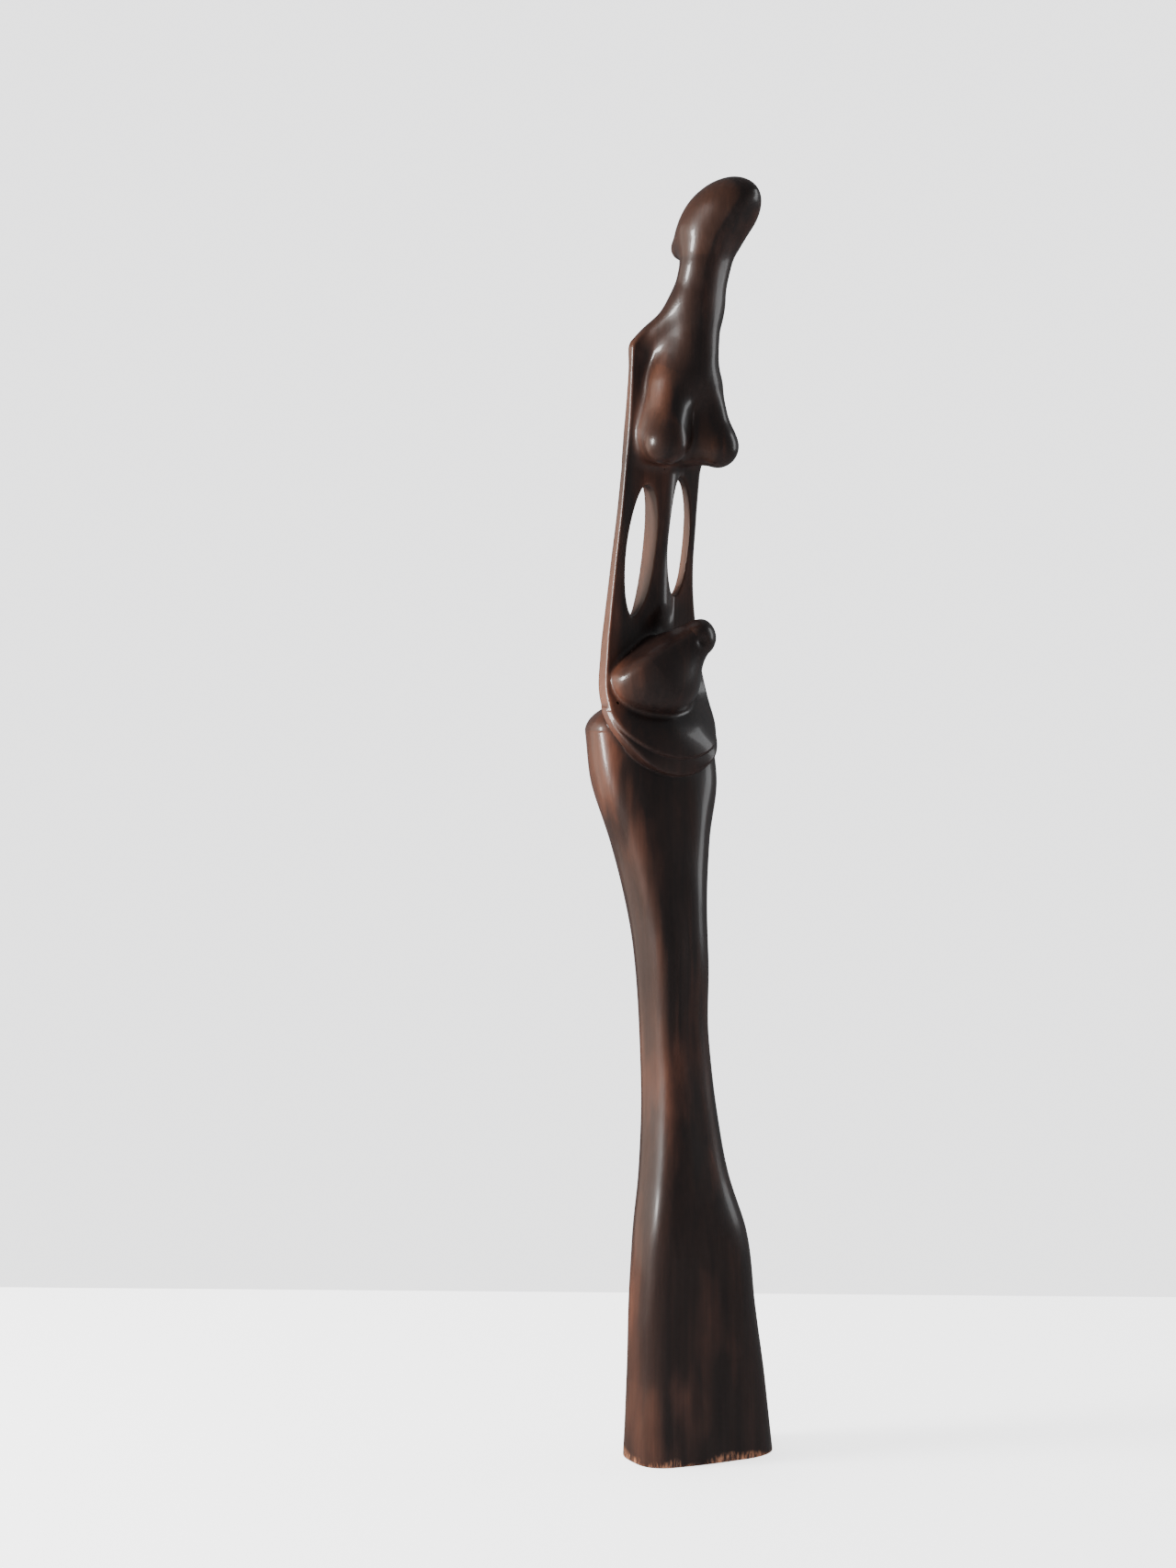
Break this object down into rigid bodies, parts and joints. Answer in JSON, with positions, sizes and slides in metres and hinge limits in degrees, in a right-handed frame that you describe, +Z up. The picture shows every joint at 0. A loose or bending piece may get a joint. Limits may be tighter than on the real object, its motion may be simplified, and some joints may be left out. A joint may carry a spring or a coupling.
{
  "type": "carved ancestor figure",
  "caption": "Tall standing figure carved from one billet of dark polished hardwood, with a featureless head, pierced waist and a rounded form held in its arms.",
  "frame": {"origin": "on the table, under the middle of the foot", "axes": "+Z up along the figure, the figure faces -Y and its left is +X"},
  "size_m": [0.0942, 0.1131, 0.7516],
  "materials": {
    "dark_wood": "satin polish, near-black brown with fine upright grain",
    "red_wood": "satin polish, red-brown where the dark stain is thinner",
    "worn_wood": "satin polish, worn to bare reddish wood along the lower rim"
  },
  "bodies": {
    "root": {"foot_block": "worn_wood", "lower_skirt": "dark_wood", "upper_skirt": "dark_wood", "thighs": "dark_wood", "hips": "dark_wood", "hip_band": "dark_wood", "forearm_cradle": "dark_wood", "child_body": "dark_wood", "child_head": "dark_wood", "waist_column": "dark_wood", "right_arm": "red_wood", "left_arm": "red_wood", "chest": "dark_wood", "right_breast": "red_wood", "left_breast": "red_wood", "neck": "dark_wood", "head": "red_wood", "nape_knot": "dark_wood"}
  },
  "joints": []
}
